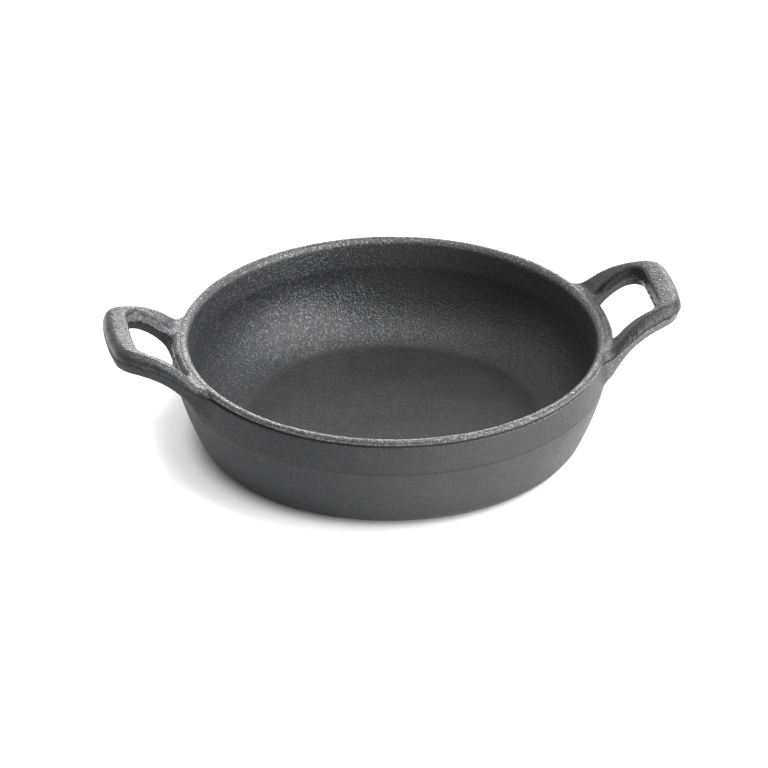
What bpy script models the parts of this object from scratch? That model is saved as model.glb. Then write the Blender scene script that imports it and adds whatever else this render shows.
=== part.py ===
"""Mini casserole dish: a round cast-iron bowl with two loop handles.

The origin is the centre of the flat underside. +Z is up, and the handles lie along X.
Every length is in metres. The bowl is one turned wall; each handle is a closed loop of
cross-sections that stands against the wall, with a pattern-maker's draft above and below
its parting line.
"""

import bpy
import bmesh
from math import acos, asin, cos, exp, hypot, pi, radians, sin, sqrt, tan
from mathutils import Matrix

# Bowl
RIM_RADIUS = 0.0700          # outside of the rim
HEIGHT = 0.0352              # flat underside to the top of the rim
RIM_THICKNESS = 0.0036
RIM_OUTER_ROUND = 0.0009
RIM_INNER_ROUND = 0.0024
CREASE_DROP = 0.0017         # top of the rim to the crease under it
CREASE_DEPTH = 0.00025
CREASE_WIDTH = 0.0008
PARTING_HEIGHT = 0.0234      # faint mould line round the wall, above the underside
PARTING_SWELL = 0.00045      # how far the wall stands out there beyond the rim
BASE_TAPER = 0.0082          # how far the wall would lean in from the mould line to the base
WALL_BELLY = 0.0006          # swell of the lower wall beyond a straight taper
FOOT_ROUND = 0.0076
FLOOR_THICKNESS = 0.0038
INSIDE_DRAFT = radians(6.0)
INSIDE_ROUND = 0.0200        # curve from the inner wall to the floor
FLOOR_EDGE_ANGLE = radians(6.0)

# Handles
SEAT_GAP = 0.0003            # between a handle and the wall it stands against
ROOT_WIDTH = 0.0500          # across both arms at the rim
TIP_WIDTH = 0.0338           # across the outer corners, before they are rounded
REACH = 0.0222               # rim to the outer corners
TIP_BOW = 0.0025             # how far the middle of the bar stands beyond its corners
OUTER_CORNER = 0.0066
ROOT_ARM = 0.0093            # width of an arm where the opening starts
TIP_ARM = 0.0048             # width of an arm where it meets the bar
BAR_WIDTH = 0.0069
WEB = 0.0015                 # thickness left between the finger opening and the wall
OPENING_CORNER = 0.0050
OPENING_ROOT_CORNER = 0.0018
OPENING_BOW = 0.0005         # bow of the bar's inner edge
ROOT_DROP = 0.0004           # top of the handle's root below the top of the rim
RISE = 0.0136                # how high the loop climbs above its root
RISE_LENGTH = 0.0094         # the shorter, the steeper it leaves its root
ROOT_DEPTH = 0.0100
LOOP_DEPTH = 0.0072
GUSSET_LENGTH = 0.0020       # how fast the root's depth fades along the arm
ROOT_BLEND = 0.0012          # softens the start of the climb
PARTING_DROP = 0.0036        # top face to the handle's mould line, on the loop
UPPER_DRAFT = 0.0008
LOWER_DRAFT = 0.0011
EDGE_ROUND = 0.0009

# Mesh fineness
TURN_STEPS = 96
ROUND_STEPS = 4
FOOT_STEPS = 6
INSIDE_STEPS = 9
BELLY_STEPS = 4
ROOT_STEPS = 7
ARM_STEPS = 8
CORNER_STEPS = 8
BAR_STEPS = 4

IRON_COLOUR = (0.085, 0.085, 0.086, 1.0)
IRON_ROUGHNESS = 0.55
IRON_METALLIC = 0.6


def iron_material(name):
    """Dark sand-cast iron."""
    material = bpy.data.materials.new(name)
    material.use_nodes = True
    shader = material.node_tree.nodes["Principled BSDF"]
    shader.inputs["Base Color"].default_value = IRON_COLOUR
    shader.inputs["Roughness"].default_value = IRON_ROUGHNESS
    shader.inputs["Metallic"].default_value = IRON_METALLIC
    return material


def add_object(name, mesh_bm, sharp_angle):
    """Put a finished bmesh into the scene as a named, smoothly shaded object."""
    bmesh.ops.recalc_face_normals(mesh_bm, faces=mesh_bm.faces)
    mesh = bpy.data.meshes.new(name)
    mesh_bm.to_mesh(mesh)
    mesh_bm.free()
    mesh.shade_smooth()
    mesh.set_sharp_from_angle(angle=sharp_angle)
    mesh.materials.append(iron_material(name + "_iron"))
    thing = bpy.data.objects.new(name, mesh)
    bpy.context.collection.objects.link(thing)
    return thing


def arc(centre, radius, start, end, steps):
    """Points on an arc, both ends included; angles run from +X towards +Y."""
    turn = [start + (end - start) * i / steps for i in range(steps + 1)]
    return [(centre[0] + radius * cos(a), centre[1] + radius * sin(a)) for a in turn]


# The wall's outer shape, shared by the bowl and by the handles' seats

def parting_radius():
    return RIM_RADIUS + PARTING_SWELL


def taper_angle():
    """Lean of the lower wall from the vertical."""
    return asin(BASE_TAPER / hypot(BASE_TAPER, PARTING_HEIGHT))


def foot_arc():
    """Centre (radius, height) of the rounding between the underside and the wall."""
    lean = taper_angle()
    wall_at_base = parting_radius() - BASE_TAPER
    return wall_at_base + FOOT_ROUND * (tan(lean) - 1 / cos(lean)), FOOT_ROUND


def foot_top():
    """Where the foot rounding ends on the wall."""
    lean = taper_angle()
    centre = foot_arc()
    return centre[0] + FOOT_ROUND * cos(lean), centre[1] - FOOT_ROUND * sin(lean)


def wall_radius(z):
    """Outer radius of the wall at a height above the foot rounding."""
    if z >= PARTING_HEIGHT:
        share = min(1.0, (z - PARTING_HEIGHT) / (HEIGHT - CREASE_DROP - PARTING_HEIGHT))
        return parting_radius() - PARTING_SWELL * share
    low_r, low_z = foot_top()
    share = max(0.0, (z - low_z) / (PARTING_HEIGHT - low_z))
    return low_r + (parting_radius() - low_r) * share + WALL_BELLY * 4 * share * (1 - share)


def outer_profile():
    """Underside, foot, wall, crease and rim, from the axis outwards and up."""
    points = [(0.0, 0.0)]
    points += arc(foot_arc(), FOOT_ROUND, -pi / 2, -taper_angle(), FOOT_STEPS)
    low_z = foot_top()[1]
    for i in range(1, BELLY_STEPS + 1):
        z = low_z + (PARTING_HEIGHT - low_z) * i / BELLY_STEPS
        points.append((wall_radius(z), z))
    crease_z = HEIGHT - CREASE_DROP
    points.append((wall_radius(crease_z - CREASE_WIDTH / 2), crease_z - CREASE_WIDTH / 2))
    points.append((RIM_RADIUS - CREASE_DEPTH, crease_z))
    lip = min(RIM_OUTER_ROUND, CREASE_DROP - CREASE_WIDTH / 2)
    if CREASE_DROP - CREASE_WIDTH / 2 > lip:
        points.append((RIM_RADIUS, crease_z + CREASE_WIDTH / 2))
    points += arc((RIM_RADIUS - lip, HEIGHT - lip), lip, 0, pi / 2, ROUND_STEPS)
    return points


def inner_profile():
    """Rim, inner wall and floor, from the top of the rim down to the axis."""
    inner_r = RIM_RADIUS - RIM_THICKNESS
    bend = min(RIM_INNER_ROUND, RIM_THICKNESS - RIM_OUTER_ROUND)
    points = arc((inner_r + bend, HEIGHT - bend), bend, pi / 2, pi - INSIDE_DRAFT, ROUND_STEPS)
    start_r, start_z = points[-1]
    # The floor curve starts on the drafted wall and ends on the floor at a small angle.
    centre_z = FLOOR_THICKNESS + INSIDE_ROUND * cos(FLOOR_EDGE_ANGLE)
    top_z = centre_z + INSIDE_ROUND * sin(INSIDE_DRAFT)
    top_r = start_r - max(0.0, start_z - top_z) * tan(INSIDE_DRAFT)
    centre_r = top_r - INSIDE_ROUND * cos(INSIDE_DRAFT)
    points += arc((centre_r, centre_z), INSIDE_ROUND, INSIDE_DRAFT,
                  FLOOR_EDGE_ANGLE - pi / 2, INSIDE_STEPS)
    points.append((0.0, FLOOR_THICKNESS))
    return points


def make_bowl():
    """Spin the profile about the axis into one closed body."""
    profile = outer_profile() + inner_profile()
    bm = bmesh.new()
    verts = [bm.verts.new((r, 0.0, z)) for r, z in profile]
    edges = [bm.edges.new(pair) for pair in zip(verts, verts[1:])]
    bmesh.ops.spin(bm, geom=verts + edges, cent=(0, 0, 0), axis=(0, 0, 1), dvec=(0, 0, 0),
                   angle=2 * pi, steps=TURN_STEPS, use_merge=True, use_duplicate=False)
    bmesh.ops.remove_doubles(bm, verts=bm.verts, dist=0.000001)
    return add_object("bowl", bm, radians(35))


# The handle, drawn in plan with x along its reach and y across it

def seat_radius():
    """Widest radius of the face that stands against the wall."""
    return RIM_RADIUS + PARTING_SWELL + SEAT_GAP


def opening_start():
    """Distance from the bowl's axis at which the finger opening and the climb begin."""
    return seat_radius() + WEB


def climbed(distance):
    """How far out along the climb a point is, from its distance to the bowl's axis."""
    out = distance - opening_start()
    return (out + hypot(out, ROOT_BLEND)) / 2


def handle_top(distance):
    """Height of the handle's top face."""
    return HEIGHT - ROOT_DROP + RISE * (1 - exp(-climbed(distance) / RISE_LENGTH))


def handle_depth(distance):
    """Top face to underside: deep at the root, even along the loop."""
    return LOOP_DEPTH + (ROOT_DEPTH - LOOP_DEPTH) * exp(-climbed(distance) / GUSSET_LENGTH)


def along(start, end, steps):
    """Points after start up to and including end, evenly spaced."""
    return [(start[0] + (end[0] - start[0]) * i / steps,
             start[1] + (end[1] - start[1]) * i / steps) for i in range(1, steps + 1)]


def corner(before, at, after, radius, steps):
    """An arc that rounds the corner at a point between two straight sides."""
    arm = (before[0] - at[0], before[1] - at[1])
    bar = (after[0] - at[0], after[1] - at[1])
    arm_length, bar_length = hypot(*arm), hypot(*bar)
    arm = (arm[0] / arm_length, arm[1] / arm_length)
    bar = (bar[0] / bar_length, bar[1] / bar_length)
    half = acos(arm[0] * bar[0] + arm[1] * bar[1]) / 2
    setback = min(radius / tan(half), 0.45 * arm_length, 0.9 * bar_length)
    radius = setback * tan(half)
    middle = (arm[0] + bar[0], arm[1] + bar[1])
    reach = radius / sin(half) / hypot(*middle)
    centre = (at[0] + middle[0] * reach, at[1] + middle[1] * reach)
    first = (at[0] + arm[0] * setback - centre[0], at[1] + arm[1] * setback - centre[1])
    sweep = pi - 2 * half
    turn = -1 if arm[0] * bar[1] - arm[1] * bar[0] > 0 else 1
    points = []
    for i in range(steps + 1):
        a = turn * sweep * i / steps
        points.append((centre[0] + first[0] * cos(a) - first[1] * sin(a),
                       centre[1] + first[0] * sin(a) + first[1] * cos(a)))
    return points


def bowed(points, half_width, bow):
    """Swell the bar's straight edge outwards, most at its middle."""
    return [(x + bow * max(0.0, 1 - (y / half_width) ** 2), y) for x, y in points]


def outer_outline():
    """Half of the loop's outside, from the wall's middle to the middle of the bar."""
    seat = seat_radius()
    at_rim = (RIM_RADIUS, ROOT_WIDTH / 2)
    tip = (RIM_RADIUS + REACH, TIP_WIDTH / 2)
    step = hypot(tip[0] - at_rim[0], tip[1] - at_rim[1])
    way = ((tip[0] - at_rim[0]) / step, (tip[1] - at_rim[1]) / step)
    # The arm's outer edge runs straight back until it meets the seat's circle.
    lead = at_rim[0] * way[0] + at_rim[1] * way[1]
    back = -lead + sqrt(max(0.0, lead ** 2 - at_rim[0] ** 2 - at_rim[1] ** 2 + seat ** 2))
    root = (at_rim[0] + way[0] * back, at_rim[1] + way[1] * back)
    angle = asin(root[1] / seat)
    points = arc((0, 0), seat, 0, angle, ROOT_STEPS)
    bend = corner(root, tip, (tip[0], 0.0), OUTER_CORNER, CORNER_STEPS)
    points += along(root, bend[0], ARM_STEPS)[:-1] + bend
    points += along(bend[-1], (tip[0], 0.0), BAR_STEPS)
    last = len(points) - BAR_STEPS - CORNER_STEPS - 1
    return points[:last] + bowed(points[last:], bend[0][1], TIP_BOW)


def inner_outline():
    """Half of the finger opening's edge, with as many points as the outside has."""
    near = opening_start()
    far = RIM_RADIUS + REACH - BAR_WIDTH
    lean = (ROOT_WIDTH - TIP_WIDTH) / 2 / REACH
    half_near = ROOT_WIDTH / 2 - lean * (near - RIM_RADIUS) - ROOT_ARM
    half_far = ROOT_WIDTH / 2 - lean * (far - RIM_RADIUS) - TIP_ARM
    heel = (sqrt(near ** 2 - half_near ** 2), half_near)
    side = corner((near, 0.0), heel, (far, half_far), OPENING_ROOT_CORNER, 2)
    bend = corner(heel, (far, half_far), (far, 0.0), OPENING_CORNER, CORNER_STEPS)
    start = asin(side[0][1] / near)
    points = arc((0, 0), near, 0, start, ROOT_STEPS - 2)[:-1] + side
    points += along(side[-1], bend[0], ARM_STEPS)[:-1] + bend
    points += along(bend[-1], (far, 0.0), BAR_STEPS)
    last = len(points) - BAR_STEPS - CORNER_STEPS - 1
    return points[:last] + bowed(points[last:], bend[0][1], OPENING_BOW)


def inward(points, i, sign):
    """Unit vector into the material at a point of a half outline."""
    before = points[i - 1] if i > 0 else (points[1][0], -points[1][1])
    after = points[i + 1] if i < len(points) - 1 else (points[-2][0], -points[-2][1])
    run, rise = after[0] - before[0], after[1] - before[1]
    length = hypot(run, rise)
    return sign * rise / length, -sign * run / length


def section(outer, inner, i):
    """One cross-section of the loop, as a closed run of points round the material."""
    on_seat = i <= ROOT_STEPS
    width = hypot(outer[i][0] - inner[i][0], outer[i][1] - inner[i][1])
    share = min(1.0, 0.4 * width / (LOWER_DRAFT + EDGE_ROUND))
    draft_up, draft_down = UPPER_DRAFT * share, LOWER_DRAFT * share
    bend = EDGE_ROUND * share

    def edge_point(edge, step_in, drop):
        """A point a share of the way down, set back from the edge into the material."""
        x, y = edge[i]
        if not (edge is outer and on_seat):
            nx, ny = inward(edge, i, 1 if edge is outer else -1)
            x, y = x + nx * step_in, y + ny * step_in
        distance = hypot(x, y)
        z = handle_top(distance) - drop(handle_depth(distance))
        if edge is outer and on_seat:
            scale = (wall_radius(z) + SEAT_GAP) / distance
            x, y = x * scale, y * scale
        return x, y, z

    down_one_side = [
        (draft_up + bend, lambda d: 0.0),
        (draft_up + 0.3 * bend, lambda d: 0.3 * bend),
        (draft_up, lambda d: bend),
        (0.0, lambda d: min(PARTING_DROP / LOOP_DEPTH, 0.8) * d),
        (draft_down, lambda d: d - bend),
        (draft_down + 0.3 * bend, lambda d: d - 0.3 * bend),
        (draft_down + bend, lambda d: d),
    ]
    outside = [edge_point(outer, step_in, drop) for step_in, drop in down_one_side]
    inside = [edge_point(inner, step_in, drop) for step_in, drop in down_one_side]
    return outside + inside[::-1]


def make_handle(name, turn):
    """Loft the sections round the loop, then turn the handle to its side of the bowl."""
    outer, inner = outer_outline(), inner_outline()
    half = [section(outer, inner, i) for i in range(len(outer))]
    mirrored = [[(x, -y, z) for x, y, z in ring] for ring in half[-2:0:-1]]
    bm = bmesh.new()
    rings = [[bm.verts.new(point) for point in ring] for ring in half + mirrored]
    for ring, following in zip(rings, rings[1:] + rings[:1]):
        for k in range(len(ring)):
            after = (k + 1) % len(ring)
            bm.faces.new((ring[k], ring[after], following[after], following[k]))
    bmesh.ops.triangulate(bm, faces=bm.faces)
    handle = add_object(name, bm, radians(50))
    handle.data.transform(Matrix.Rotation(turn, 4, "Z"))
    return handle


for old in list(bpy.data.objects):
    bpy.data.objects.remove(old, do_unlink=True)

dish = bpy.data.objects.new("dish", None)
bpy.context.collection.objects.link(dish)
pieces = [make_bowl(), make_handle("right_handle", 0.0), make_handle("left_handle", pi)]
for piece in pieces:
    piece.parent = dish
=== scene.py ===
"""Mini casserole dish: a one-piece iron casting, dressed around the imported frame.

All lengths are in metres, with the origin at the centre of the flat underside, +Z up, the
handles along X and the front at -Y. The bowl is turned from its profile. Each handle is
skinned from a solid that is rounded into the bowl, so the three pieces read as one casting.
"""

from math import asin, atan2, cos, hypot, pi, radians, sin, sqrt, tan

import bpy
import numpy as np
from mathutils import Matrix, Vector


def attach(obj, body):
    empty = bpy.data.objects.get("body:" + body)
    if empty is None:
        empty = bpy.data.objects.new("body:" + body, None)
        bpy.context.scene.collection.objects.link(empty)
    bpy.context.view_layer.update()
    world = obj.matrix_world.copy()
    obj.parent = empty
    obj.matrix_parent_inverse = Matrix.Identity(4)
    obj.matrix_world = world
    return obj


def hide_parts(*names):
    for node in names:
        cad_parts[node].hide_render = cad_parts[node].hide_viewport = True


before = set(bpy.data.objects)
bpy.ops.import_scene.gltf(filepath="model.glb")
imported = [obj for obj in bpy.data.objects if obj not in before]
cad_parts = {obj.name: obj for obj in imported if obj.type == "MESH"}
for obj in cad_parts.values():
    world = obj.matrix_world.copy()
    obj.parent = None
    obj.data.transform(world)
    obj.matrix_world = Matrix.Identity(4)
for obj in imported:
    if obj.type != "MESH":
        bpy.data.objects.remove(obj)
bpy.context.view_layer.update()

MM = 0.001

# Bowl: the CAD model's sizes, with the crease and the swell set nearer the photo
RIM_RADIUS = 70.0 * MM
HEIGHT = 35.2 * MM
RIM_THICKNESS = 3.6 * MM
RIM_OUTER_ROUND = 0.9 * MM
RIM_INNER_ROUND = 2.4 * MM
CREASE_DROP = 1.7 * MM        # from the rim's top down to the crease round it
CREASE_DEPTH = 0.28 * MM
CREASE_WIDTH = 0.7 * MM
PARTING_HEIGHT = 23.4 * MM    # the mould line round the wall
PARTING_SWELL = 0.35 * MM     # how much wider than the rim the wall is there
BASE_TAPER = 8.2 * MM         # how much narrower it would be at the floor, on each side
WALL_BELLY = 0.6 * MM         # how far the wall's lower part bows out
FOOT_ROUND = 7.6 * MM
FLOOR_THICKNESS = 3.8 * MM
INSIDE_DRAFT = radians(6.0)
INSIDE_ROUND = 20.0 * MM      # from the inner wall into the floor
FLOOR_EDGE_ANGLE = radians(6.0)
CREASE_HEIGHT = HEIGHT - CREASE_DROP

# Handles: the CAD model's sizes, some moved by up to 0.5 mm, and GUSSET_LENGTH by 1.2 mm,
# to meet the photo
ROOT_WIDTH = 50.0 * MM        # across both arms at the rim
TIP_WIDTH = 33.8 * MM
REACH = 22.15 * MM            # from the rim out to the bar's side
TIP_BOW = 2.2 * MM
OUTER_CORNER = 6.6 * MM
ROOT_ARM = 9.5 * MM           # an arm's width at the rim and at the tip
TIP_ARM = 4.8 * MM
BAR_WIDTH = 6.9 * MM
OPENING_START = 72.0 * MM     # where the finger opening begins, from the dish's axis
OPENING_CORNER = 5.0 * MM
OPENING_ROOT_CORNER = 1.8 * MM
OPENING_BOW = 0.5 * MM
ROOT_DROP = 0.16 * MM         # how far a handle's top starts under the rim's
RISE = 13.2 * MM              # how far it climbs from there, and over which length
RISE_LENGTH = 8.9 * MM
ROOT_DEPTH = 10.0 * MM        # thickness from top to underside at the rim and at the bar
LOOP_DEPTH = 7.6 * MM
GUSSET_LENGTH = 3.2 * MM      # how fast the first runs out to the second
ROOT_BLEND = 1.2 * MM
PARTING_DROP = 3.7 * MM       # from a handle's top down to its mould line
PARTING_RUN = 1.6 * MM        # how fast that line leaves the crease
UPPER_DRAFT = 0.8 * MM
LOWER_DRAFT = 1.1 * MM
UNDER_ROUND = 0.9 * MM

# What only the casting has: soft joins, and mould halves that don't quite meet
OUTER_ROUND = 2.6 * MM        # the loop's upper edge, outside
GRIP_ROUND = 0.8 * MM         # the same round the finger opening
GRIP_DRAFT = 0.7              # draft inside the opening, as a share of the outside's
WEB_ROUND = 1.8 * MM          # the opening's edge where it runs along the rim
WEB_RUN = 1.5 * MM            # how fast that round turns into the arms'
ROOT_FLARE = 11.0 * MM        # hollow curve in plan where an arm's side runs into the wall
JOIN_ROUND = 0.12 * MM        # fillet between a handle's top and the rim
JOIN_ROUND_BELOW = 4.2 * MM   # the same under the handle
HIDDEN_ROOT = 67.0 * MM       # how near the axis the handle's solid starts, inside the rim
MOULD_SHIFT = -0.6 * MM       # the bowl's outer half of the mould lies this far along X
LOOP_SHIFT = (-0.25 * MM, 0.35 * MM)    # where the lower halves of the handles lie
WALL_RUN = 4.0 * MM           # how fast a handle's lower half leaves the wall's own shape
LEAN_LIMIT = 1.3              # the most draft under the mould line, in LOWER_DRAFTs
LINE_STEP = 0.1 * MM          # half the height of the step at a handle's mould line
CREASE_STEP = 0.15 * MM       # the same at the crease
LINE_WANDER = 0.12 * MM       # how far a handle's mould line wanders up and down
GROOVE_DROP = 0.15 * MM       # the groove's middle under a handle's mould line
GROOVE_WIDTH = 0.3 * MM
FLASH = 0.08 * MM             # thin ragged fin along the mould line
FIN_WIDTH = 0.2 * MM          # its half width, and its middle's height over the line
GRIP_STEP = 0.35 * MM         # how far the finger opening's lower half sits back
GRIP_TEAR = 0.45 * MM         # how far its mould line wanders
UNEVENNESS = 0.03 * MM        # how far the whole surface wanders from its drawn shape
FILLET_PLACE = 2.0 * MM       # how far off the wall a handle's plan is read for its fillet
FILLET_UNDER = (-2.5 * MM, 0.5 * MM)    # where it grows, from the sides to the underside
FILLET_ALONG = (-1.5 * MM, 2.5 * MM)    # and from a flare's thin end to the arm

# How the skins are worked out
SKIN_PITCH = 0.40 * MM
MAP_PITCH = 0.10 * MM
BOWL_TURNS = 288
WALL_PITCH = 0.8 * MM         # between the profile's points along the walls
EDGE_PITCH = 0.15 * MM        # and round the crease and the rim's outer edge
BOWL_RANGE = ((-1 * MM, -2 * MM), (76 * MM, 40 * MM))     # of its maps: out from the axis and up
LOOP_RANGE = ((50 * MM, -1 * MM), (100 * MM, 48 * MM))    # of a handle's: along X and across
HANDLE_BOX = ((54 * MM, -40 * MM, 20 * MM), (98 * MM, 40 * MM, 50 * MM))
BOWL_EDGE = 70.5 * MM         # nearer the axis than this, points are measured from the crease
PAST_AXIS = -20 * MM          # where the bowl's outlines are closed, so the axis is no wall
HOLLOW_TOP = HEIGHT + 9 * MM  # and where the hollow's is, over the rim
ROOT_SINK = 1.2 * MM          # how far a handle's skin dives into the bowl past its fillet
ROOT_BACK = 0.6 * MM          # depth in the bowl's iron at which a handle's solid is closed
FILLET_END = 0.008 * MM       # thickness at which a fillet is taken to have run out
IN_SIGHT = 0.002 * MM         # how near the casting's surface a skin's point counts as seen
BURIED = 0.4 * MM             # depth in the iron past which a point keeps its own normal


# Outlines: lists of points in a plane

def arc(centre, radius, start, end, pitch=0.25 * MM):
    """Points along an arc, both ends included."""
    steps = max(2, round(abs(end - start) * radius / pitch))
    turn = [start + (end - start) * i / steps for i in range(steps + 1)]
    return [(centre[0] + radius * cos(a), centre[1] + radius * sin(a)) for a in turn]


def straight(start, end, pitch=1.0 * MM):
    """Points after start up to and including end."""
    steps = max(1, round(hypot(end[0] - start[0], end[1] - start[1]) / pitch))
    return [(start[0] + (end[0] - start[0]) * i / steps,
             start[1] + (end[1] - start[1]) * i / steps) for i in range(1, steps + 1)]


def rounded(before, at, after, radius, pitch=0.3 * MM):
    """An arc in place of the corner at a point."""
    a = Vector((before[0] - at[0], before[1] - at[1])).normalized()
    b = Vector((after[0] - at[0], after[1] - at[1])).normalized()
    half = a.angle(b) / 2
    centre = Vector(at[:2]) + (a + b).normalized() * (radius / sin(half))
    first = Vector(at[:2]) + a * (radius / tan(half)) - centre
    last = Vector(at[:2]) + b * (radius / tan(half)) - centre
    start = atan2(first.y, first.x)
    sweep = (atan2(last.y, last.x) - start + pi) % (2 * pi) - pi
    return arc(centre, radius, start, start + sweep, pitch)


def bowed(points, half_width, bow):
    """Swell a bar's straight edge outwards, most at its middle."""
    return [(x + bow * max(0.0, 1 - (y / half_width) ** 2), y) for x, y in points]


def lower_wall():
    """Lean of the lower wall and the centre of the foot's rounding."""
    lean = atan2(BASE_TAPER, PARTING_HEIGHT)
    at_base = RIM_RADIUS + PARTING_SWELL - BASE_TAPER
    return lean, (at_base + FOOT_ROUND * (tan(lean) - 1 / cos(lean)), FOOT_ROUND)


def outer_profile():
    """Underside, foot, wall, crease and the outer half of the rim, from the axis out and up."""
    lean, centre = lower_wall()
    points = straight((0, 0), (centre[0], 0), pitch=4 * MM)
    points += arc(centre, FOOT_ROUND, -pi / 2, -lean)[1:]
    low, swollen = points[-1], (RIM_RADIUS + PARTING_SWELL, PARTING_HEIGHT)
    for x, z in straight(low, swollen, WALL_PITCH):
        share = (z - low[1]) / (swollen[1] - low[1])
        points.append((x + WALL_BELLY * 4 * share * (1 - share), z))
    points += straight(points[-1], (RIM_RADIUS, CREASE_HEIGHT - CREASE_WIDTH / 2), WALL_PITCH)
    points += straight(points[-1], (RIM_RADIUS - CREASE_DEPTH, CREASE_HEIGHT), EDGE_PITCH)
    points += straight(points[-1], (RIM_RADIUS, CREASE_HEIGHT + CREASE_WIDTH / 2), EDGE_PITCH)
    points += arc((RIM_RADIUS - RIM_OUTER_ROUND, HEIGHT - RIM_OUTER_ROUND), RIM_OUTER_ROUND,
                  0, pi / 2, EDGE_PITCH)
    return points


def inner_profile():
    """The inner half of the rim, the inner wall and the floor, down to the axis."""
    inner = RIM_RADIUS - RIM_THICKNESS
    points = arc((inner + RIM_INNER_ROUND, HEIGHT - RIM_INNER_ROUND), RIM_INNER_ROUND,
                 pi / 2, pi - INSIDE_DRAFT)
    start = points[-1]
    centre_z = FLOOR_THICKNESS + INSIDE_ROUND * cos(FLOOR_EDGE_ANGLE)
    top_z = centre_z + INSIDE_ROUND * sin(INSIDE_DRAFT)
    top = (start[0] - (start[1] - top_z) * tan(INSIDE_DRAFT), top_z)
    centre = (top[0] - INSIDE_ROUND * cos(INSIDE_DRAFT), centre_z)
    points += straight(start, top, pitch=0.7 * MM)
    points += arc(centre, INSIDE_ROUND, INSIDE_DRAFT, FLOOR_EDGE_ANGLE - pi / 2, WALL_PITCH)[1:]
    return points + straight(points[-1], (0, FLOOR_THICKNESS), pitch=1.5 * MM)


def arm_edge(x):
    """Half the handle's width at a reach, along the straight outer edge of an arm."""
    return ROOT_WIDTH / 2 - (x - RIM_RADIUS) * (ROOT_WIDTH - TIP_WIDTH) / 2 / REACH


def loop_outline():
    """The loop's outside in plan, closed inside the rim, with its sides flared into the wall."""
    tip = (RIM_RADIUS + REACH, TIP_WIDTH / 2)
    back = (RIM_RADIUS, ROOT_WIDTH / 2)
    way = Vector((tip[0] - back[0], tip[1] - back[1])).normalized()
    out = Vector((-way.y, way.x))
    # The flare's centre is its radius off the arm's edge and off the wall's circle.
    foot = Vector(back) + out * ROOT_FLARE
    along = foot.dot(way)
    apart = sqrt(along ** 2 - foot.length_squared + (RIM_RADIUS + ROOT_FLARE) ** 2)
    centre = foot + way * (apart - along)
    on_arm = centre - out * ROOT_FLARE
    start = atan2(-out.y, -out.x)
    end = atan2(-centre.y, -centre.x)
    flare = arc(centre, ROOT_FLARE, end, start)
    wall = atan2(centre.y, centre.x)
    half = arc((0, 0), HIDDEN_ROOT, 0, wall) + flare
    bend = rounded(on_arm, tip, (tip[0], 0), OUTER_CORNER)
    half += straight(on_arm, bend[0]) + bowed(bend + straight(bend[-1], (tip[0], 0)),
                                              bend[0][1], TIP_BOW)
    return half + [(x, -y) for x, y in half[-2:0:-1]]


def opening_outline():
    """The finger opening in plan."""
    far = RIM_RADIUS + REACH - BAR_WIDTH
    half_near, half_far = arm_edge(OPENING_START) - ROOT_ARM, arm_edge(far) - TIP_ARM
    heel = (sqrt(OPENING_START ** 2 - half_near ** 2), half_near)
    side = rounded((OPENING_START, 0), heel, (far, half_far), OPENING_ROOT_CORNER)
    bend = rounded(heel, (far, half_far), (far, 0), OPENING_CORNER)
    half = arc((0, 0), OPENING_START, 0, asin(side[0][1] / OPENING_START))[:-1] + side
    half += straight(side[-1], bend[0]) + bowed(bend + straight(bend[-1], (far, 0)),
                                                bend[0][1], OPENING_BOW)
    return half + [(x, -y) for x, y in half[-2:0:-1]]


# Fields: a number for each point in space, under zero inside the iron

class PlaneMap:
    """Distance to a closed outline, worked out on a grid once and read between its points."""

    def __init__(self, outline, low, high):
        self.low = low
        u, v = (np.arange(low[k], high[k], MAP_PITCH) for k in (0, 1))
        u, v = np.meshgrid(u, v, indexing="ij")
        nearest, inside = np.full(u.shape, 1.0), np.zeros(u.shape, bool)
        for a, b in zip(outline, outline[1:] + outline[:1]):
            du, dv = b[0] - a[0], b[1] - a[1]
            if hypot(du, dv) < 1e-9:
                continue
            share = np.clip(((u - a[0]) * du + (v - a[1]) * dv) / (du ** 2 + dv ** 2), 0, 1)
            nearest = np.minimum(nearest, np.hypot(u - a[0] - share * du, v - a[1] - share * dv))
            if dv:
                level = (a[1] <= v) != (b[1] <= v)
                inside ^= level & (u < a[0] + (v - a[1]) / dv * du)
        self.values = np.where(inside, -nearest, nearest)

    def __call__(self, u, v):
        rows, columns = self.values.shape
        u = np.clip((u - self.low[0]) / MAP_PITCH, 0, rows - 1.001)
        v = np.clip((v - self.low[1]) / MAP_PITCH, 0, columns - 1.001)
        i, j = u.astype(int), v.astype(int)
        u, v, grid = u - i, v - j, self.values
        return ((grid[i, j] * (1 - u) + grid[i + 1, j] * u) * (1 - v)
                + (grid[i, j + 1] * (1 - u) + grid[i + 1, j + 1] * u) * v)


def smooth(value, start, end):
    """From 0 at start to 1 at end, easing at both."""
    share = np.clip((value - start) / (end - start), 0, 1)
    return share * share * (3 - 2 * share)


def round_off(a, b, radius):
    """Where two solids overlap, with their shared outer edge rounded."""
    return (np.minimum(np.maximum(a, b), -radius)
            + np.hypot(np.maximum(radius + a, 0), np.maximum(radius + b, 0)))


def round_in(a, b, radius):
    """Two solids joined, with the hollow corner between them filled to a radius."""
    return (np.maximum(np.minimum(a, b), radius)
            - np.hypot(np.maximum(radius - a, 0), np.maximum(radius - b, 0)))


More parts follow.
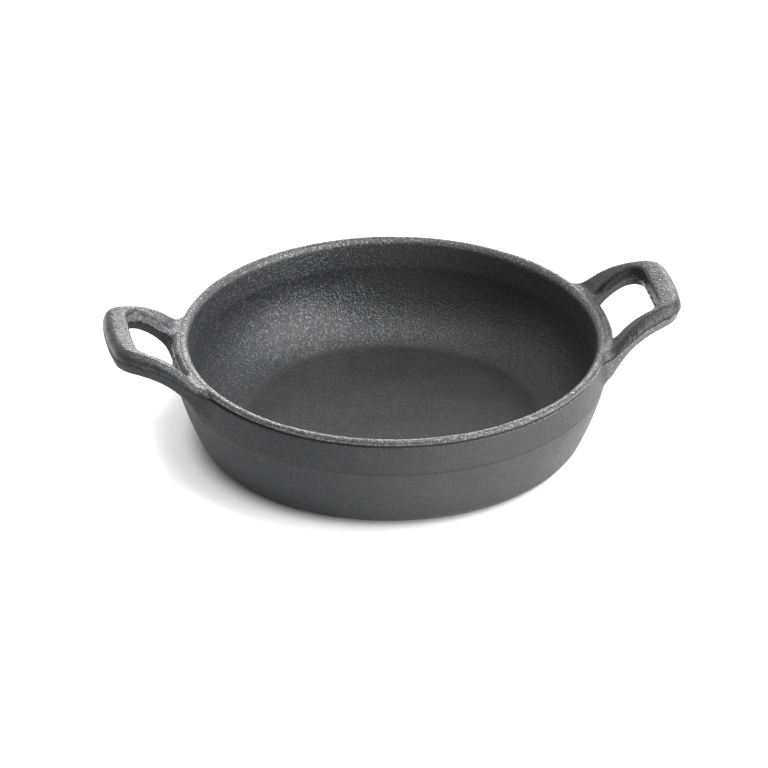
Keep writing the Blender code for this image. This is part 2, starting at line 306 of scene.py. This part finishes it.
outer_points, inner_points = outer_profile(), inner_profile()
bowl_outside = PlaneMap([(PAST_AXIS, 0)] + outer_points + [(PAST_AXIS, HEIGHT)], *BOWL_RANGE)
bowl_inside = PlaneMap([(inner_points[0][0], HOLLOW_TOP)] + inner_points
                       + [(PAST_AXIS, FLOOR_THICKNESS), (PAST_AXIS, HOLLOW_TOP)], *BOWL_RANGE)
loop_plan = PlaneMap(loop_outline(), *LOOP_RANGE)
opening_plan = PlaneMap(opening_outline(), *LOOP_RANGE)


def shift_at(z):
    """How far the mould half that made the outside at a height lies along X."""
    return MOULD_SHIFT * (1 - smooth(z, CREASE_HEIGHT - CREASE_STEP, CREASE_HEIGHT + CREASE_STEP))


class Swells:
    """Waviness through space, from crossed waves of mixed lengths."""

    def __init__(self, seed, shortest, longest, count=14):
        draw = np.random.default_rng(seed)
        ways = draw.normal(size=(count, 3))
        lengths = draw.uniform(shortest, longest, count)
        self.ways = ways * (2 * pi / lengths / np.linalg.norm(ways, axis=1))[:, None]
        self.starts = draw.uniform(0, 2 * pi, count)
        self.share = 1 / sqrt(count / 2)

    def __call__(self, x, y, z):
        total = 0
        for (wx, wy, wz), start in zip(self.ways, self.starts):
            total = total + np.sin(wx * x + wy * y + wz * z + start)
        return total * self.share


slow_swells = Swells(7, 9 * MM, 30 * MM)
ragged = Swells(11, 1.3 * MM, 6 * MM)
torn = Swells(5, 2.5 * MM, 9 * MM)


def unevenness(x, y, z):
    """How far the cast surface wanders from its drawn shape."""
    return slow_swells(x, y, z) * UNEVENNESS


def bowl_fields(x, y, z):
    """The bowl as if it were solid, and its hollow turned outside in."""
    wander = unevenness(x, y, z)
    return (bowl_outside(np.hypot(x - shift_at(z), y), z) + wander,
            wander - bowl_inside(np.hypot(x, y), z))


def bowl_field(x, y, z):
    """The bowl alone."""
    return np.maximum(*bowl_fields(x, y, z))


def climb_at(distance):
    """How far a point lies out along a handle, easing in over the rim."""
    out = distance - OPENING_START
    return (out + np.hypot(out, ROOT_BLEND)) / 2


def handle_top(distance):
    """Height of a handle's upper side at a distance from the dish's axis."""
    return (HEIGHT - ROOT_DROP + RISE * (1 - np.exp(-climb_at(distance) / RISE_LENGTH))
            - np.maximum(RIM_RADIUS - RIM_OUTER_ROUND - distance, 0))


def line_depth(x, y, z):
    """How far the mould line lies under a handle's top: from the crease to the loop's middle."""
    near_rim = np.exp(-climb_at(np.hypot(x, y)) / PARTING_RUN)
    return (PARTING_DROP + (CREASE_DROP - PARTING_DROP) * near_rim
            + LINE_WANDER * ragged(x, y, z) * (1 - near_rim))


def handle_field(x, y, z):
    """The handle on the points' side, and how full its fillet is there."""
    distance = np.hypot(x, y)
    out, climbed, top = distance - OPENING_START, climb_at(distance), handle_top(distance)
    depth = LOOP_DEPTH + (ROOT_DEPTH - LOOP_DEPTH) * np.exp(-climbed / GUSSET_LENGTH)
    upright = 1 / np.hypot(1, RISE / RISE_LENGTH * np.exp(-climbed / RISE_LENGTH) * climbed
                           / np.hypot(out, ROOT_BLEND))
    parting = line_depth(x, y, z)
    below = top - parting - z
    # By the wall, the handle's lower half takes on the wall's own swell and shift.
    by_wall = np.exp(-np.maximum(distance - RIM_RADIUS, 0) / WALL_RUN)
    swell = PARTING_SWELL * np.clip((CREASE_HEIGHT - z) / (CREASE_HEIGHT - PARTING_HEIGHT), 0, 1)
    lean = LOWER_DRAFT * np.minimum(below / (depth - parting), LEAN_LIMIT)
    upper_draft = UPPER_DRAFT / PARTING_DROP * -below
    draft = np.where(below < 0, upper_draft, lean * (1 - by_wall) - swell * by_wall)
    fin = FLASH * np.exp(-((below + FIN_WIDTH) / FIN_WIDTH) ** 2) * np.clip(
        ragged(z, x, y), 0, 1.5)
    groove = CREASE_DEPTH * np.exp(-((below - GROOVE_DROP) / GROOVE_WIDTH) ** 2)
    lower = smooth(below, -LINE_STEP, LINE_STEP)
    aside = LOOP_SHIFT[0] + (MOULD_SHIFT - LOOP_SHIFT[0]) * by_wall
    across = np.abs(x - aside * lower)
    y = np.abs(y - LOOP_SHIFT[1] * (1 - by_wall) * lower)
    field = round_off(loop_plan(across, y) + draft + groove - fin, (z - top) * upright,
                      OUTER_ROUND)
    grip = GRIP_ROUND + (WEB_ROUND - GRIP_ROUND) * np.exp(-np.maximum(out, 0) / WEB_RUN)
    # Inside the opening the lower half of the mould sat back, and its line is more broken.
    set_back = GRIP_STEP * smooth(below + GRIP_TEAR * torn(x, y, z), -LINE_STEP, LINE_STEP)
    grip_draft = np.where(below < 0, upper_draft, lean) * GRIP_DRAFT
    field = round_off(field, grip_draft + set_back - fin - opening_plan(across, y), grip)
    under = (top - depth - z) * upright
    # A fillet belongs under the handle, and fades out where a side thins into the wall.
    out_by = (RIM_RADIUS + FILLET_PLACE) / distance
    fillet = (smooth(under - field, *FILLET_UNDER)
              * smooth(-loop_plan(across * out_by, y * out_by), *FILLET_ALONG))
    return round_off(field, under, UNDER_ROUND) + unevenness(x, y, z), fillet


def casting_field(x, y, z):
    """The whole casting, handles filleted into the bowl."""
    solid, hollow = bowl_fields(x, y, z)
    handle, fillet = handle_field(x, y, z)
    radius = JOIN_ROUND + (JOIN_ROUND_BELOW - JOIN_ROUND) * fillet
    return np.maximum(round_in(solid, handle, radius), hollow)


def handle_piece_field(x, y, z):
    """The casting less the bowl, closed just inside the bowl's iron."""
    bowl, casting = bowl_field(x, y, z), casting_field(x, y, z)
    added = bowl - casting
    sink = ROOT_SINK * np.maximum(1 - added / FILLET_END, 0) ** 2
    return np.maximum(casting + sink, -(bowl + ROOT_BACK))


def slope(field, points, step=0.06 * MM):
    """The field's gradient at points, by differences."""
    result = np.empty_like(points)
    for k in range(3):
        shift = np.zeros(3)
        shift[k] = step
        result[:, k] = (field(*(points + shift).T) - field(*(points - shift).T)) / (2 * step)
    return result


def settle(field, points, rounds=3, reach=0.3 * MM):
    """Move points onto the field's zero surface, by no more than a small step each round."""
    for _ in range(rounds):
        away = slope(field, points)
        size = np.maximum((away ** 2).sum(axis=1), 0.05)
        step = np.clip(field(*points.T) / size, -reach, reach)
        points = points - away * step[:, None]
    return points


# Meshes

MARKS = ("bulge", "under_line", "opening", "torn_line")    # measures that the material reads


def bulge(points, step=0.35 * MM):
    """How sharply the casting bulges at points: one over its radius there, in 1/mm."""
    total = -6 * casting_field(*points.T)
    for k in range(3):
        shift = np.zeros(3)
        shift[k] = step
        total += casting_field(*(points + shift).T) + casting_field(*(points - shift).T)
    return total / step ** 2 * MM


def opening_marks(points):
    """How far points lie from the finger opening in plan, and under its torn line, in mm."""
    x, y, z = points.T
    line = under_line(points) + GRIP_TEAR / MM * torn(x, y, z)
    return opening_plan(np.abs(x), np.abs(y)) / MM, line


def under_line(points):
    """How far points lie under the mould line, or under the crease on the bowl, in mm."""
    x, y, z = points.T
    distance = np.hypot(x, y)
    line = np.where(distance > BOWL_EDGE, handle_top(distance) - line_depth(x, y, z),
                    CREASE_HEIGHT)
    return (line - z) / MM


def put(name, data):
    """Put a mesh, lamp or camera into the scene."""
    thing = bpy.data.objects.new(name, data)
    bpy.context.collection.objects.link(thing)
    return thing


def iron_piece(name, points, faces, normals):
    """A smooth piece of the casting, with its normals given and its measures taken."""
    mesh = bpy.data.meshes.new(name)
    mesh.from_pydata(points.tolist(), [], faces)
    mesh.validate()
    mesh.shade_smooth()
    mesh.normals_split_custom_set_from_vertices(normals.tolist())
    measures = bulge(points), under_line(points), *opening_marks(points)
    for label, values in zip(MARKS, measures):
        mesh.attributes.new(label, "FLOAT", "POINT").data.foreach_set("value", values.tolist())
    return put(name, mesh)


def unit(vectors):
    """Vectors at a length of one."""
    return vectors / np.maximum(np.linalg.norm(vectors, axis=1)[:, None], 1e-12)


def turned_bowl():
    """The bowl's closed wall, turned from its profile and shifted where the mould is."""
    profile = outer_points + inner_points[:-1]
    turned = len(profile)
    angles = [2 * pi * k / BOWL_TURNS for k in range(BOWL_TURNS)]
    points = [(r * cos(a) + (shift_at(z) if i < len(outer_points) else 0), r * sin(a), z)
              for a in angles for i, (r, z) in enumerate(profile)]
    faces = []
    for k in range(BOWL_TURNS):
        here, there = k * turned, (k + 1) % BOWL_TURNS * turned
        faces += [(here + i, there + i, there + i + 1, here + i + 1) for i in range(turned - 1)]
    under, floor = len(points), len(points) + 1
    points += [(MOULD_SHIFT, 0, 0), (0, 0, FLOOR_THICKNESS)]
    for k in range(BOWL_TURNS):
        here, there = k * turned, (k + 1) % BOWL_TURNS * turned
        faces += [(under, there, here), (floor, here + turned - 1, there + turned - 1)]
    points = settle(bowl_field, np.array(points), rounds=2)
    points[:, 2] = np.maximum(points[:, 2], 0)
    return iron_piece("cast_bowl", points, faces, unit(slope(casting_field, points)))


def skin(field, low, high, pitch):
    """Points and quads over a field's zero surface, with one point in each cell it crosses."""
    lines = [np.arange(low[k], high[k] + pitch, pitch) for k in range(3)]
    values = field(*np.meshgrid(*lines, indexing="ij"))
    cells = np.array(values.shape) - 1
    inside = values < 0
    crossings, quads = [], []
    for axis in range(3):
        near = tuple(slice(None, -1) if k == axis else slice(None) for k in range(3))
        far = tuple(slice(1, None) if k == axis else slice(None) for k in range(3))
        spots = np.argwhere(inside[near] != inside[far])
        first, second = values[near][tuple(spots.T)], values[far][tuple(spots.T)]
        place = spots.astype(float)
        place[:, axis] += first / (first - second)
        side, other = [k for k in range(3) if k != axis]
        around = []
        for step_side, step_other in ((0, 0), (1, 0), (1, 1), (0, 1)):
            cell = spots.copy()
            cell[:, side] -= step_side
            cell[:, other] -= step_other
            around.append(np.ravel_multi_index(np.clip(cell, 0, cells - 1).T, cells))
            crossings.append((around[-1], place))
        quad = np.stack(around, axis=1)
        flip = (first < 0) == (axis == 1)
        quads.append(np.where(flip[:, None], quad[:, ::-1], quad))
    owners = np.concatenate([owner for owner, _ in crossings])
    places = np.concatenate([place for _, place in crossings])
    used, index = np.unique(owners, return_inverse=True)
    count = np.bincount(index)
    points = np.stack([np.bincount(index, places[:, k]) / count for k in range(3)], axis=1)
    points = np.array([line[0] for line in lines]) + points * pitch
    quads = np.searchsorted(used, np.concatenate(quads))
    return points, quads


def skinned_handle(name, side):
    """A handle with its fillets, on +X or -X."""
    low, high = HANDLE_BOX
    if side < 0:
        low, high = (-high[0], *low[1:]), (-low[0], *high[1:])
    points, quads = skin(handle_piece_field, low, high, SKIN_PITCH)
    shown = np.abs(handle_piece_field(*points.T) - casting_field(*points.T)) < IN_SIGHT
    points[shown] = settle(casting_field, points[shown])
    normals = unit(slope(casting_field, points))
    normals[casting_field(*points.T) < -BURIED] = 0
    return iron_piece(name, points, quads.tolist(), normals)


cast_bowl = turned_bowl()
cast_right = skinned_handle("cast_right_handle", 1)
cast_left = skinned_handle("cast_left_handle", -1)

for piece, node in ((cast_bowl, "bowl"), (cast_right, "right_handle"), (cast_left, "left_handle")):
    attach(piece, "root")
    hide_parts(node)


# Shaders

class Value:
    """One number's or vector's socket in a material, with maths written as Python."""

    def __init__(self, shader, socket):
        self.shader, self.socket = shader, socket

    def math(self, operation, first, second):
        return self.shader.node("ShaderNodeMath", {"operation": operation}, {0: first, 1: second})

    def __add__(self, other):
        return self.math("ADD", self, other)

    def __sub__(self, other):
        return self.math("SUBTRACT", self, other)

    def __rsub__(self, other):
        return self.math("SUBTRACT", other, self)

    def __mul__(self, other):
        return self.math("MULTIPLY", self, other)

    def __pow__(self, other):
        return self.math("POWER", self, other)

    __radd__, __rmul__ = __add__, __mul__

    def __abs__(self):
        return self.shader.node("ShaderNodeMath", {"operation": "ABSOLUTE"}, {0: self})

    def at_least(self, other):
        """The greater of this value and another."""
        return self.math("MAXIMUM", self, other)


class Shader:
    """A material or world being wired up."""

    def __init__(self, owner):
        owner.use_nodes = True
        self.tree = owner.node_tree
        self.tree.nodes.clear()

    def node(self, kind, settings=None, sockets=None, output=0):
        """A node with its settings, then its sockets' values or links; gives an output."""
        node = self.tree.nodes.new(kind)
        for name, value in (settings or {}).items():
            setattr(node, name, value)
        for name, value in (sockets or {}).items():
            if isinstance(value, Value):
                self.tree.links.new(value.socket, node.inputs[name])
            else:
                node.inputs[name].default_value = value
        return Value(self, node.outputs[output]) if node.outputs else None

    def noise(self, place, size, detail=2.0, roughness=0.5):
        """Cloudy noise whose lumps are about a size across."""
        return self.node("ShaderNodeTexNoise", {}, {"Vector": place, "Scale": 1 / size,
                         "Detail": detail, "Roughness": roughness})

    def between(self, value, low, high, to_low=0.0, to_high=1.0):
        """A value taken from one range to another, easing and held at its ends."""
        return self.node("ShaderNodeMapRange", {"interpolation_type": "SMOOTHSTEP"},
                         {"Value": value, "From Min": low, "From Max": high,
                          "To Min": to_low, "To Max": to_high})

    def blend(self, share, first, second):
        """A colour between two colours."""
        return self.node("ShaderNodeMix", {"data_type": "RGBA"},
                         {"Factor": share, 6: first, 7: second}, output=2)


DARK_IRON = (0.036, 0.037, 0.039, 1)
PALE_IRON = (0.058, 0.057, 0.056, 1)
SEASONED_AND_SHADED_IRON = (0.022, 0.023, 0.026, 1)    # black: baked oil, and painted shade on faces turned from the light
PAINTED_LIGHT_IRON = (0.098, 0.099, 0.101, 1)         # grey: painted light on the inner back wall, where little light falls
# pale metal: bare grain tops, and painted light and glints
BARE_AND_LIT_IRON = (0.33, 0.33, 0.34, 1)
# near black: painted shade in hollows and grooves, and the wall's dark mould line
SHADE_AND_SEAM_BLACK = (0.012, 0.012, 0.012, 1)
RUST = (0.075, 0.058, 0.044, 1)
GRAIN_DEPTH = 0.34 * MM

WALL_MIDDLE = (66.2 * MM, 67.2 * MM)    # from the axis to the middle of the wall's iron
TURN_IN = 20 * MM                       # under this height it lies nearer the axis, by the
TURN_IN_RATE = 40.4                     # rate times the square of the height still lacking


def bowl_areas(paint, reach, z):
    """How much a point is inside, on the floor, over the crease, on the wall or the rim's land."""
    turned_in = (TURN_IN - z).at_least(0.0)
    inside = ((1 - paint.between(reach + turned_in * turned_in * TURN_IN_RATE, *WALL_MIDDLE))
              * paint.between(z, 1.5 * MM, 3 * MM))
    floor = inside * (1 - paint.between(z, 3.9 * MM, 4.8 * MM))
    above = paint.between(z, 33.2 * MM, 34.0 * MM)
    wall = (1 - inside) * (1 - above) * (1 - paint.between(reach, 70.3 * MM, 71.6 * MM))
    land = above * (1 - inside) * (1 - paint.between(reach, 70.8 * MM, 72.0 * MM))
    return inside, floor, above, wall, land


def handle_areas(paint, x, y, reach, right, inside, marks):
    """How much a point is on a handle, under its mould line, in its grip, in painted shade, and in
    painted light.
    """
    under, opening, torn_under = marks
    low = paint.between(under, 0.0, 0.5)
    handle = paint.between(reach, 71.0 * MM - low * (0.7 * MM), 72.5 * MM - low * (0.9 * MM))
    # The grip, painted in shade, is round the finger opening, weaker on the rim, and on the right
    # along it too.
    web = paint.between(reach, 74.5 * MM, 71.5 * MM)
    grip = (paint.between(opening - low, 2.8, 1.2) * paint.between(under, -3.7, -3.2)
            * (1 - inside) * paint.between(reach, 69.8 * MM, 71.5 * MM, 0.2, 1.0)
            * (1 - web * right * 0.8))
    # The right handle's lower half is painted paler, light thrown up from the floor, and the left
    # one has a patch of painted light in its far arm.
    painted_floor_light = handle * paint.between(under, 0.35, 0.7) * right * (1 - grip)
    # The patch is painted light on the upward-facing upper part of the far arm's opening side.
    painted_light_patch = (grip * (1 - right) * paint.between(torn_under, 0.1, -0.1)
            * paint.between(under, -2.8, -2.4) * paint.between(y, 0.0, 2 * MM))
    # Painted shade, dark and smooth, lies on the sides, the grips, the left bar's slope and the
    # right handle's arms, the near one most: faces turned away from the light.
    flank = handle * paint.between(under, -3.4, -1.4 - right * 1.2)
    arms = (right * handle * (1 - paint.between(x, 83.5 * MM, 88 * MM) * 0.7)
            * paint.between(y, -8 * MM, -12 * MM, 0.45, 0.9))
    slope_out = (1 - right) * paint.between(reach, 76.0 * MM, 90.0 * MM) * 0.85
    painted_shade = flank.at_least(grip).at_least(arms).at_least(slope_out)
    return handle, low, grip, painted_shade * (1 - painted_floor_light * 0.75) * (1 - painted_light_patch), painted_floor_light, painted_light_patch


def cast_iron():
    """Sand-cast iron with baked oil: grain, coarser inside and on the handles, mottling, and
    painted light and shade.
    """
    material = bpy.data.materials.new("cast_iron")
    paint = Shader(material)
    place = paint.node("ShaderNodeTexCoord", output=3)
    x, y, z = (paint.node("ShaderNodeSeparateXYZ", {}, {0: place}, output=k) for k in range(3))
    reach = (x * x + y * y) ** 0.5
    edge, under, opening, torn_under = (
        paint.node("ShaderNodeAttribute", {"attribute_name": label}, output=2) for label in MARKS)

    # Where on the casting a point is
    right = paint.between(x, -2 * MM, 2 * MM)
    far_left = paint.between(x, 10 * MM, -50 * MM)
    front_right = paint.between(x, 5 * MM, 45 * MM) * paint.between(y, -6 * MM, -12 * MM)
    upper_right = paint.between(z, 10 * MM, 22 * MM) * paint.between(x, -20 * MM, 30 * MM)
    inside, floor, above, wall, land = bowl_areas(paint, reach, z)
    handle, low, grip, painted_shade, painted_floor_light, painted_light_patch = handle_areas(
        paint, x, y, reach, right, inside, (under, opening, torn_under))

    sand = paint.noise(place, 0.40 * MM, 0.0)
    grit = paint.noise(place, 0.85 * MM, 2.0, 0.6)
    lumps = paint.noise(place, 3.2 * MM, 2.0)
    mottle = paint.noise(place, 15 * MM, 3.0)
    stains = paint.noise(place, 7 * MM, 3.0, 0.6)
    specks = paint.noise(place, 1.3 * MM, 1.0)

    rough = 1 - floor * 0.65 - wall * 0.80
    height = (sand * 0.30 + grit * 0.70) * (rough + handle * 0.5 - painted_shade * 0.6) + lumps * 0.3
    bump = paint.node("ShaderNodeBump", {}, {"Strength": 1.0, "Distance": GRAIN_DEPTH,
                      "Height": height})

    # Grain tops are rubbed bare, most on edges and the land; as painted sheen, more lie on the
    # inner left and in the painted light, and fewer in the painted shade.
    tops = paint.between(sand * 0.5 + grit * 0.5, 0.52, 0.66)
    worn = paint.between(edge, 0.15, 0.9)
    wear_and_sheen = inside * paint.between(x, 35 * MM, -15 * MM, -0.12, 0.16) + 0.34
    bare_and_sheen = tops * ((rough * (1 - wall) * wear_and_sheen + worn * 0.15 + land * 0.40 + above * 0.08)
                   * (1 - painted_shade * 0.9) + painted_floor_light * 0.28 + painted_light_patch * 0.4 + 0.015)
    # Painted shade darkens hollow corners and the grooves of the crease and of the handles' mould
    # lines, and a dark line runs along the wall's mould line. At the right front a thin torn lip
    # just under the line gets a painted glint.
    hollow_shade = paint.between(edge, -0.1, -1.2) * (1 - wall * 0.85)
    line = (1 - inside) * paint.between(
        abs(under - 0.05) - right * 0.12 - front_right * 0.1, 0.45, 0.15)
    joint = paint.between(abs(z - PARTING_HEIGHT), 0.7 * MM, 0.1 * MM) * wall
    # The lip's glint is painted, pale and metallic, only at the right front, where the light
    # catches it.
    painted_lip_glint = (paint.between(abs(under - 0.78), 0.24, 0.08) * (1 - inside) * front_right
           * (1 - grip) * paint.between(specks, 0.48, 0.60))

    # Black seasoning on the outer wall, more of it as painted shade on the wall's left and on the
    # handles' painted-shade faces, and inside darker towards the left.
    seasoning_and_shade = (inside * (1 - floor * 0.5) * paint.between(x, 60 * MM, -10 * MM, 0.0, 0.72)
             + wall * (far_left * 0.55 + 0.35) + painted_shade * 0.8)
    tone = paint.between(mottle + (grit - 0.5) * 0.8, 0.2, 0.8)
    colour = paint.blend(tone, DARK_IRON, PALE_IRON)
    for share, layer in ((seasoning_and_shade, SEASONED_AND_SHADED_IRON),
                         # painted light on the inner wall's upper back
                         (inside * upper_right * 0.75, PAINTED_LIGHT_IRON),
                         (paint.between(stains, 0.58, 0.75) * (0.4 - inside * 0.3), RUST),
                         # painted light on the right handle's lower half and the far arm's patch,
                         # and wear on the land
                         (painted_light_patch * 0.35 + painted_floor_light * 0.12 + land * 0.07, BARE_AND_LIT_IRON),
                         (bare_and_sheen, BARE_AND_LIT_IRON),
                         (hollow_shade * 0.7, SHADE_AND_SEAM_BLACK),
                         (line * 0.9 + joint * 0.75, SHADE_AND_SEAM_BLACK),
                         (painted_lip_glint * 0.6, BARE_AND_LIT_IRON)):
        colour = paint.blend(share, colour, layer)

    # The outer wall, the mould lines and the left handle below its own are matter.
    matt = (wall + handle * low * (1 - right)) * (far_left * 0.2 + 0.14) + line * 0.3
    roughness = paint.between(grit, 0.3, 0.7, 0.40, 0.28) + matt
    shade = paint.node("ShaderNodeBsdfPrincipled", {}, {"Base Color": colour,
                       "Roughness": roughness, "Metallic": bare_and_sheen * 0.8 + painted_lip_glint * 0.4,
                       "Normal": bump})
    paint.node("ShaderNodeOutputMaterial", {}, {"Surface": shade})
    return material


iron = cast_iron()
for piece in (cast_bowl, cast_right, cast_left):
    piece.data.materials.append(iron)


# The stage: floor, light and camera

SEEING_RAYS = (0, 3, 6)        # Light Path's outputs for camera, glossy and transmission rays
FLOOR_HALF = 6.0
FLOOR_DROP = 0.02 * MM         # keeps the floor's face off the dish's underside
SHADOW_SHIFT = 4 * MM          # the glow's middle lies this far to the left of the dish's
GLOW_FADES = ((56 * MM, 67 * MM, 0.53), (66 * MM, 84 * MM, 0.47))    # from, to and how much
VIEW_TURN = radians(10.5)      # the dish is turned this far, right handle to the back
VIEW_DOWN = radians(29.25)
VIEW_DISTANCE = 2.0
VIEW_AIM = (-2.833 * MM, 0.0, 17.162 * MM)
LENS = 286.5
LAMP_AIM = (0, 0, 20 * MM)
LAMP_DISTANCE = 3.0
LAMP_WATTS = 4                 # power for a square metre of lamp at a glow of one
LAMPS = (                      # name, bearing and height in degrees, width, height and glow
    ("right_softbox", 118, 13, 2.4, 1.1, 7.0),
    ("high_right_softbox", 108, 47, 1.9, 0.30, 20.0),
    ("top_softbox", 70, 76, 0.9, 0.9, 8.0),
    ("back_panel", 8, 10, 1.4, 0.45, 11.0),
    ("left_fill", 245, 9, 2.0, 0.9, 0.5))
CURTAIN = (145, 260)           # the bearings of its ends
CURTAIN_RADIUS = 3.6
CURTAIN_HEIGHT = 2.6
CURTAIN_STEPS = 12


def floor_paint():
    """Pale matt paper, which glows where the camera or a reflection sees it.

    The glow fades out towards the dish's foot, so that the contact shadow stays.
    """
    material = bpy.data.materials.new("floor_paint")
    paint = Shader(material)
    place = paint.node("ShaderNodeTexCoord", output=3)
    x, y = (paint.node("ShaderNodeSeparateXYZ", {}, {0: place}, output=k) for k in range(2))
    aside = x + SHADOW_SHIFT
    reach = (aside * aside + y * y) ** 0.5
    glow = sum(paint.between(reach, near, far, 0.0, gain) for near, far, gain in GLOW_FADES)
    glow = paint.node("ShaderNodeCombineColor", {}, {0: glow, 1: glow, 2: glow})
    paper = {"Base Color": (0.9, 0.9, 0.9, 1), "Roughness": 0.9, "Specular IOR Level": 0.0}
    plain = paint.node("ShaderNodeBsdfPrincipled", {}, paper)
    seen = paint.node("ShaderNodeBsdfPrincipled", {}, {**paper, "Emission Color": glow,
                      "Emission Strength": 1.0})
    ray = sum(paint.node("ShaderNodeLightPath", output=k) for k in SEEING_RAYS)
    shade = paint.node("ShaderNodeMixShader", {}, {0: ray, 1: plain, 2: seen})
    paint.node("ShaderNodeOutputMaterial", {}, {"Surface": shade})
    return material


floor_mesh = bpy.data.meshes.new("floor")
floor_mesh.from_pydata([(FLOOR_HALF * i, FLOOR_HALF * j, 0)
                        for i, j in ((-1, -1), (1, -1), (1, 1), (-1, 1))], [], [(0, 1, 2, 3)])
floor_mesh.materials.append(floor_paint())
floor = put("floor", floor_mesh)
floor.location.z = -FLOOR_DROP


def aim_at(thing, target):
    """Turn a lamp or camera, which look along their own -Z, at a point."""
    way = Vector(target) - thing.location
    thing.rotation_euler = way.to_track_quat("-Z", "Y").to_euler()


def softbox(name, bearing, height_angle, width, height, glow):
    """A soft lamp. Its bearing is in degrees from straight behind the dish, towards the right."""
    lamp = bpy.data.lights.new(name, "AREA")
    lamp.shape, lamp.size, lamp.size_y = "RECTANGLE", width, height
    lamp.energy = LAMP_WATTS * glow * width * height
    thing = put(name, lamp)
    bearing, height_angle = radians(bearing) + VIEW_TURN, radians(height_angle)
    thing.location = (LAMP_DISTANCE * cos(height_angle) * sin(bearing),
                      LAMP_DISTANCE * cos(height_angle) * cos(bearing),
                      LAMP_DISTANCE * sin(height_angle))
    aim_at(thing, LAMP_AIM)
    thing.visible_camera = False


def curtain(name, first, last):
    """A dark cloth round the front of the studio, behind the camera, between two bearings."""
    points = []
    for k in range(CURTAIN_STEPS + 1):
        bearing = radians(first + (last - first) * k / CURTAIN_STEPS) + VIEW_TURN
        points += [(CURTAIN_RADIUS * sin(bearing), CURTAIN_RADIUS * cos(bearing), z)
                   for z in (0.0, CURTAIN_HEIGHT)]
    faces = [(2 * k, 2 * k + 2, 2 * k + 3, 2 * k + 1) for k in range(CURTAIN_STEPS)]
    mesh = bpy.data.meshes.new(name)
    mesh.from_pydata(points, [], faces)
    cloth = bpy.data.materials.new(name)
    paint = Shader(cloth)
    matt = paint.node("ShaderNodeBsdfPrincipled", {}, {"Base Color": (0.03, 0.03, 0.03, 1),
                      "Roughness": 1.0, "Specular IOR Level": 0.0})
    paint.node("ShaderNodeOutputMaterial", {}, {"Surface": matt})
    mesh.materials.append(cloth)
    thing = put(name, mesh)
    thing.visible_camera = False


camera_data = bpy.data.cameras.new("camera")
camera_data.lens, camera_data.sensor_width = LENS, 36.0
camera_data.clip_start, camera_data.clip_end = 0.1, 50.0
camera = put("camera", camera_data)
turn = Matrix.Rotation(-VIEW_TURN, 4, "Z")
back = Vector((0, -cos(VIEW_DOWN), sin(VIEW_DOWN))) * VIEW_DISTANCE
target = turn @ Vector(VIEW_AIM)
camera.location = target + turn @ back
aim_at(camera, target)
bpy.context.scene.camera = camera

curtain("front_curtain", *CURTAIN)
for lamp in LAMPS:
    softbox(*lamp)

world = bpy.data.worlds.new("studio")
bpy.context.scene.world = world
air = Shader(world)
dim = air.node("ShaderNodeBackground", {}, {"Color": (1, 1, 1, 1), "Strength": 0.25})
white = air.node("ShaderNodeBackground", {}, {"Color": (1, 1, 1, 1), "Strength": 1.0})
seen = sum(air.node("ShaderNodeLightPath", output=k) for k in SEEING_RAYS)
air.node("ShaderNodeOutputWorld", {}, {"Surface": air.node("ShaderNodeMixShader", {},
         {0: seen, 1: dim, 2: white})})
bpy.context.scene.view_settings.view_transform = "Standard"
